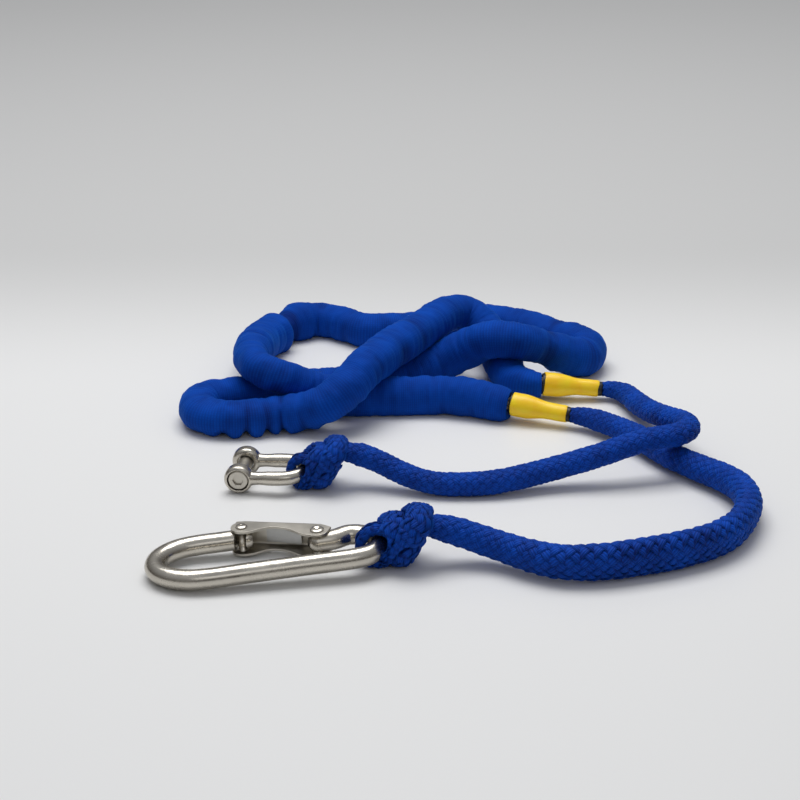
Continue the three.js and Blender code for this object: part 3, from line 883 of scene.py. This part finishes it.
def pressed_by(obj, fitting, apex, line, radius, knot):
    """Presses a knot's strands back, out of the way of the rod in its eye as the fitting swings."""
    vertices = np.empty(3 * len(obj.data.vertices))
    obj.data.vertices.foreach_get("co", vertices)
    points = vertices.reshape(-1, 3)
    bow = line[line[:, 0] > apex[0] - BOW_DEPTH]
    for degrees in np.linspace(SWING, 0, 16):
        turn = Matrix.Rotation(math.radians(degrees), 4, "Y")
        place = np.array(fitting @ Matrix.Translation(apex) @ turn @ Matrix.Translation(-apex))
        rod = bow @ place[:3, :3].T + place[:3, 3]
        nearest = np.argmin(((points[:, None] - rod) ** 2).sum(axis=2), axis=1)
        tangent = unit(np.gradient(rod, axis=0))[nearest]
        away = points - rod[nearest]
        beside = np.abs((away * tangent).sum(axis=1)) < BESIDE
        away = square_to(tangent, away)
        back = unit(square_to(tangent, placed(knot) - rod[nearest]))
        depth = (away * back).sum(axis=1)
        across = (away ** 2).sum(axis=1) - depth ** 2
        surface = np.sqrt(np.maximum(radius ** 2 - across, 0))
        caught = beside & (across < radius ** 2) & (depth < surface) & (depth > -4 * radius)
        points += np.where(caught, surface - depth, 0)[:, None] * back
    obj.data.vertices.foreach_set("co", points.ravel())


def braided(name, node, run, **braid):
    """A finished braid in the place of a CAD node."""
    return finished(plaited(name, run, **braid), BRAID, "braid", "tether", node)


EYE_BRAID = {"carriers": 6, "pitch": 0.03, "thickness": 0.0008, "step": 0.0007}

settle()
sleeve = finished(gathered_sleeve(sleeve_run), WEBBING, "webbing", "tether", "bungee_sleeve")
shackle_tail = braided("tail_to_shackle", "shackle_tail", shackle_tail_run)
hook_tail = braided("tail_to_hook", "hook_tail", hook_tail_run)
hook_knot = braided("knot_at_hook", "hook_knot", hook_knot_run, pitch=0.036, thickness=0.0009)
pressed_by(hook_knot, HOOK, HOOK_APEX, HOOK_LINE, HOOK_ROD / 2 + ROD_CLEAR, HOOK_KNOT)
shackle_knot = braided("knot_at_shackle", "shackle_knot", shackle_knot_run, pitch=0.034, thickness=0.0009)
pressed_by(shackle_knot, SHACKLE, SHACKLE_APEX, SHACKLE_LINE, SHACKLE_ROD / 2 + ROD_CLEAR, SHACKLE_KNOT)
hook_eye = braided("eye_at_hook", "hook_eye", hook_eye_run, **EYE_BRAID)
shackle_eye = braided("eye_at_shackle", "shackle_eye", shackle_eye_run, **EYE_BRAID)


# --- collars ---

def collar_radius(z):
    """The outside of the yellow tube: snug on the bungee, drawn in on the thinner tail."""
    on_bungee = 0.0054
    on_tail = 0.0038
    return on_bungee - (on_bungee - on_tail) * smooth((z - 0.006) / 0.0115)


def shrink_tube(name, low, high, under, ragged, sides=64, rows=56):
    """A shrink tube about Z. under is how far below the collar's outside its own outside lies."""
    angle = all_round(sides)
    share = np.linspace(0, 1, rows)
    at = share * (high - low)
    creases = 0.00005 * lattice(at, angle, 0.0022, 7) + 0.00008 * lattice(at, angle, 0.009, 4)
    start, end = (ragged * lattice(np.zeros(1), angle, 1.0, lobes) for lobes in (9, 7))
    share = share[:, None]
    z = low + share * (high - low) + start * (1 - share) + end * share
    lip = 0.00012 * np.exp(-((np.minimum(share, 1 - share) * rows / 1.5) ** 2))
    outside = collar_radius(z) - under + creases - lip
    inside = outside - SHRINK_WALL
    radius = np.concatenate([outside, inside[::-1]])
    z = np.concatenate([z, z[::-1]])
    points = np.stack([radius * np.cos(angle), radius * np.sin(angle), z], axis=-1)
    return new_object(name, points, grid_faces(2 * rows, sides) + joining_faces(2 * rows, sides))


def binding(name):
    """Waxed twine wound tightly round the splice."""
    turns = 9
    start = 0.0034
    pitch = 0.00074
    twine = 0.00032
    radius = CORE_D / 2 + COLLAR_GAP + 0.0003
    t = np.linspace(0, turns, turns * 24)
    line = np.stack([radius * np.cos(TURN * t), radius * np.sin(TURN * t), start + pitch * t], axis=1)
    return swept(name, line, twine, 8)


def add_collar(end, sleeve_end, tail_start):
    """Two shrink tubes and a binding, from the sleeve's end towards the tail's start."""
    start = Vector(placed(sleeve_end))
    axis = (Vector(placed(tail_start)) - start).normalized()
    turn = Vector((0, 0, 1)).rotation_difference(axis).to_matrix().to_4x4()
    place = Matrix.Translation(start + COLLAR_GAP * axis) @ turn
    cover = (COLLAR - COLLAR_COVER) / 2
    yellow = shrink_tube(f"{end}_yellow_tube", 0.6 * cover, COLLAR - 1.2 * cover, 0, 0.0004)
    black = shrink_tube(f"{end}_black_tube", 0, COLLAR, SHRINK_WALL + 0.00005, 0.0002)
    twine = binding(f"{end}_twine")
    for obj in (yellow, black, twine):
        moved(obj, place)
    finished(yellow, YELLOW, "yellow_shrink", "tether", f"{end}_outer_shrink")
    finished(black, BLACK, "black_shrink", "tether", f"{end}_inner_shrink")
    finished(twine, TWINE, "twine", "tether", f"{end}_binding")
    return [yellow, black]


add_collar("shackle_end", SLEEVE_ROUTE[0], SHACKLE_TAIL_ROUTE[0])
hook_collar = add_collar("hook_end", SLEEVE_ROUTE[-1], HOOK_TAIL_ROUTE[0])


def beyond(end, towards, reach):
    end, towards = np.array(end), np.array(towards)
    return tuple(end + reach * unit(towards - end))


def elastic_core():
    """The bungee's core: a bundle of round elastic strands, laid with a slow twist."""
    reach = 0.013
    points = [
        beyond(SLEEVE_ROUTE[0], SHACKLE_TAIL_ROUTE[0], reach), *SLEEVE_ROUTE,
        beyond(SLEEVE_ROUTE[-1], HOOK_TAIL_ROUTE[0], reach),
    ]
    curve = layout(points)[::10]
    radius = CORE_D / 6
    offsets = [(0, 0)] + [(2 * radius, k * TURN / 6) for k in range(6)]
    return strands("elastic_core", curve, offsets, radius * 0.98, 0.09)


finished(elastic_core(), RUBBER, "core_rubber", "tether", "bungee_core")


# --- snap hook ---

GATE_ANGLE = math.atan2(*(GATE_LATCH - GATE_HINGE)[1::-1])
GATE_LENGTH = float(np.linalg.norm(GATE_LATCH - GATE_HINGE))
GATE = HOOK @ Matrix.Translation(Vector(GATE_HINGE)) @ Matrix.Rotation(GATE_ANGLE, 4, "Z")
GATE_SHEET = 0.001
LEG_INSIDE = HOOK_ROD / 2 + 0.0004
LEG_OUTSIDE = LEG_INSIDE + GATE_SHEET
WEB_OUT = -(HOOK_ROD / 2 + 0.002)
HINGE_HOLE = 0.0023
LATCH_PIN = 0.0016
LATCH_SLOT = LATCH_PIN + 0.0006  # half of its width
THROUGH = 0.006  # how far the cutters reach on each side of the hook's middle


def hook_body():
    """The bent rod, drilled for the gate's hinge and slotted for its latch pin."""
    line = HOOK_LINE
    radius = HOOK_ROD / 2
    beyond_end = line[-1] + np.outer(np.linspace(0.0003, 0.0038, 10), unit(line[-1] - line[-2]))
    rounding = radius * np.sqrt(np.maximum(1 - np.linspace(0.08, 0.96, 10) ** 2, 0))
    radii = np.r_[0.00355, 0.00385, np.full(len(line) - 2, radius), rounding]
    rod = swept("hook_rod", np.vstack([line, beyond_end]), radii, 56)
    hinge = Matrix.Translation(Vector(GATE_HINGE))
    half = LATCH_SLOT
    deep = 0.008
    slot = extruded("slot", [(-half, 0), (half, 0), (half, deep), (-half, deep)], -THROUGH, THROUGH)
    moved(slot, hinge @ Matrix.Rotation(GATE_ANGLE, 4, "Z") @ Matrix.Translation((GATE_LENGTH, 0, 0)))
    slot_end = moved(bar(half, -THROUGH, THROUGH), Matrix.Translation(Vector(GATE_LATCH)))
    hole = moved(bar(HINGE_HOLE, -THROUGH, THROUGH), hinge)
    boolean(rod, [hole, slot, slot_end])
    return moved(softened(rod, 0.0003), HOOK)


def gate_outline():
    """The gate's side: an ear at the hinge, a narrow waist, and an ear at the latch."""
    waist = -0.0012
    ear = 0.0044
    latch = 0.0042
    far = GATE_LENGTH

    def bend(p0, p1, p2, p3):
        t = np.linspace(0, 1, 14)[1:-1, None]
        p0, p1, p2, p3 = map(np.array, (p0, p1, p2, p3))
        points = (1 - t) ** 3 * p0 + 3 * (1 - t) ** 2 * t * p1 + 3 * (1 - t) * t * t * p2 + t**3 * p3
        return [tuple(p) for p in points]

    return [
        (-0.005, WEB_OUT + 0.003), (0.0015, WEB_OUT), (far - 0.0056, WEB_OUT), (far + 0.003, -0.0042),
        *arc(far, 0, latch, latch, -45, 90, 16),
        *bend((far, latch), (far - 0.006, latch), (far - 0.007, waist), (far - 0.013, waist)),
        (far - 0.013, waist),
        *bend((far - 0.013, waist), (0.009, waist), (0.008, ear), (0, ear)),
        *arc(0, 0, ear, ear, 90, 180, 12),
    ]


def channel():
    """A U of folded sheet about the X axis, open towards +Y."""
    bend = 0.0016
    top = 0.006
    beyond_pins = 0.008

    def corner(half, bottom, radius):
        return arc(half - radius, bottom + radius, radius, radius, -90, 0, 7)

    outer = corner(LEG_OUTSIDE, WEB_OUT, bend)
    inner = corner(LEG_INSIDE, WEB_OUT + GATE_SHEET, bend - GATE_SHEET * 0.6)
    right = [*outer, (LEG_OUTSIDE, top), (LEG_INSIDE, top), *inner[::-1]]
    outline = right + [(-z, y) for z, y in right[::-1]]
    prism = extruded("channel", outline, -beyond_pins, GATE_LENGTH + beyond_pins)
    z_to_x = Matrix(((0, 0, 1, 0), (0, 1, 0, 0), (-1, 0, 0, 0), (0, 0, 0, 1)))
    return moved(prism, z_to_x)


def gate():
    """A folded sheet cut to the gate's side, with a hole for each pin."""
    sheet = channel()
    reach = 0.01
    boolean(sheet, [extruded("side", gate_outline(), -reach, reach)], "INTERSECT")
    latch_hole = moved(bar(0.0019, -reach, reach), Matrix.Translation((GATE_LENGTH, 0, 0)))
    boolean(sheet, [bar(HINGE_HOLE, -reach, reach), latch_hole])
    sheet.name = "gate_sheet"
    return moved(softened(sheet, 0.00015), GATE)


def rivet(name, radius, head, dimple, x):
    """A rivet through both of the gate's legs, with a low domed head on each and a dimple in it."""
    under = LEG_OUTSIDE + 0.00012
    height = 0.0007
    sweep = np.linspace(0, math.acos(dimple / head), 8)
    dome = [(head * math.cos(a), under + 0.0001 + height * math.sin(a)) for a in sweep]
    half = [(radius, under), (head, under), *dome, (0.7 * dimple, under + 0.0003), (0, under + 0.0002)]
    profile = [(r, -z) for r, z in half][::-1] + half
    return moved(turned(name, profile), GATE @ Matrix.Translation((x, 0, 0)))


finished(hook_body(), STEEL, "stainless", "snap_hook", "hook_body")
finished(gate(), SHEET_STEEL, "sheet_steel", "gate", "hook_gate")
hinge_rivet = rivet("hinge_rivet", 0.002, head=0.0027, dimple=0.0012, x=0)
finished(hinge_rivet, STEEL, "stainless", "gate", "gate_hinge_rivet")
latch_pin = rivet("latch_pin", LATCH_PIN, head=0.0023, dimple=0.0003, x=GATE_LENGTH)
finished(latch_pin, STEEL, "stainless", "gate", "gate_latch_pin")


# --- shackle ---

EAR_RADIUS = 0.006
EAR_WIDTH = 0.006
EAR_OUTSIDE = SHACKLE_HALF + EAR_WIDTH / 2
EAR_INSIDE = SHACKLE_HALF - EAR_WIDTH / 2
SCREW_HEAD = 0.0042
ALONG_Y = Matrix.Rotation(-math.pi / 2, 4, "X")


def ear(low, high):
    """A round ear about Z, its rims rounded over."""
    rim = 0.0018
    upper = arc(EAR_RADIUS - rim, high - rim, rim, rim, 90, 0, 7)
    lower = [(r, low + high - z) for r, z in upper]
    return turned("ear", [(0, low), *lower, *upper[::-1], (0, high)])


def shackle_bow():
    """A cast bow: its legs thin down behind the two round ears, and every corner is soft."""
    line = SHACKLE_LINE
    neck = np.exp(-(((line[:, 0] - 0.0085) / 0.0028) ** 2))
    bow = swept("bow", line, SHACKLE_ROD / 2 * (1 - 0.10 * neck), 40)
    spans = ((EAR_INSIDE, EAR_OUTSIDE), (-EAR_OUTSIDE, -EAR_INSIDE))
    boolean(bow, [moved(ear(low, high), ALONG_Y) for low, high in spans], "UNION")
    wide = SCREW_HEAD + 0.0003
    narrow = SHACKLE_ROD / 2 + 0.0003
    head = -EAR_OUTSIDE + 0.0023
    stepped = [(0, -0.014), (wide, -0.014), (wide, head), (narrow, head), (narrow, 0.014), (0, 0.014)]
    boolean(bow, [moved(turned("hole", stepped), ALONG_Y)])
    modified(bow, "REMESH", mode="VOXEL", voxel_size=0.00026)
    modified(bow, "SMOOTH", factor=0.5, iterations=6)
    evaluated(bow)
    bow.name = "shackle_casting"
    return moved(bow, SHACKLE)


def shackle_pin():
    """The pin, with a flush head that has a hexagonal socket."""
    chamfer = 0.0004
    face = -EAR_OUTSIDE + 0.0005
    under_head = -EAR_OUTSIDE + 0.002
    shank = SHACKLE_ROD / 2
    tip = EAR_OUTSIDE - 0.0002
    profile = [
        (0, face), (SCREW_HEAD - chamfer, face), (SCREW_HEAD, face + chamfer), (SCREW_HEAD, under_head),
        (shank, under_head), (shank, tip - 0.0005), (shank - 0.0005, tip), (0, tip),
    ]
    pin = turned("shackle_screw", profile)
    boolean(pin, [bar(0.0023, -EAR_OUTSIDE - 0.001, -EAR_OUTSIDE + 0.0016, 6)])
    return moved(softened(pin, 0.00012), SHACKLE @ ALONG_Y)


finished(shackle_bow(), STEEL, "stainless", "shackle", "shackle_bow")
finished(shackle_pin(), SHEET_STEEL, "stainless", "pin", "shackle_pin")


made_of(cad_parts["gate_spring"], SPRING_STEEL)  # the CAD's own spring is shown as it is


# --- stage ---

def add_floor():
    """The sheet, just under the rope."""
    half = 4.0
    corners = [(-half, -half, 0), (half, -half, 0), (half, half, 0), (-half, half, 0)]
    floor = new_object("floor", corners, [[0, 1, 2, 3]])
    made_of(floor, floor_material())
    floor.location.z = -0.0002


def add_softbox(name, place, target, size, power):
    data = bpy.data.lights.new(name, "AREA")
    data.shape = "RECTANGLE"
    data.size, data.size_y = size
    data.energy = power
    light = bpy.data.objects.new(name, data)
    light.location = place
    light.rotation_euler = (Vector(target) - Vector(place)).to_track_quat("-Z", "Y").to_euler()
    scene.collection.objects.link(light)


def add_world():
    """A dim room with a bright ceiling, which the steel mirrors."""
    world = bpy.data.worlds.new("room")
    world.use_nodes = True
    tree = world.node_tree
    direction = tree.nodes.new("ShaderNodeTexCoord")
    parts = tree.nodes.new("ShaderNodeSeparateXYZ")
    ramp = tree.nodes.new("ShaderNodeValToRGB")
    walls, ceiling = ramp.color_ramp.elements
    walls.position = 0.1
    walls.color = (0.10, 0.09, 0.08, 1)
    ceiling.position = 0.75
    ceiling.color = (0.42, 0.43, 0.45, 1)
    tree.links.new(direction.outputs["Generated"], parts.inputs[0])
    tree.links.new(parts.outputs["Z"], ramp.inputs["Fac"])
    tree.links.new(ramp.outputs["Color"], tree.nodes["Background"].inputs["Color"])
    scene.world = world


add_floor()
add_world()
add_softbox("overhead", (-0.1, 0.3, 1.1), (0, 0.02, 0), (1.0, 0.7), 10.7)
add_softbox("front", (0.2, -1.3, 0.9), (0, 0, 0), (0.8, 0.5), 1.0)
scene.view_settings.view_transform = "Standard"
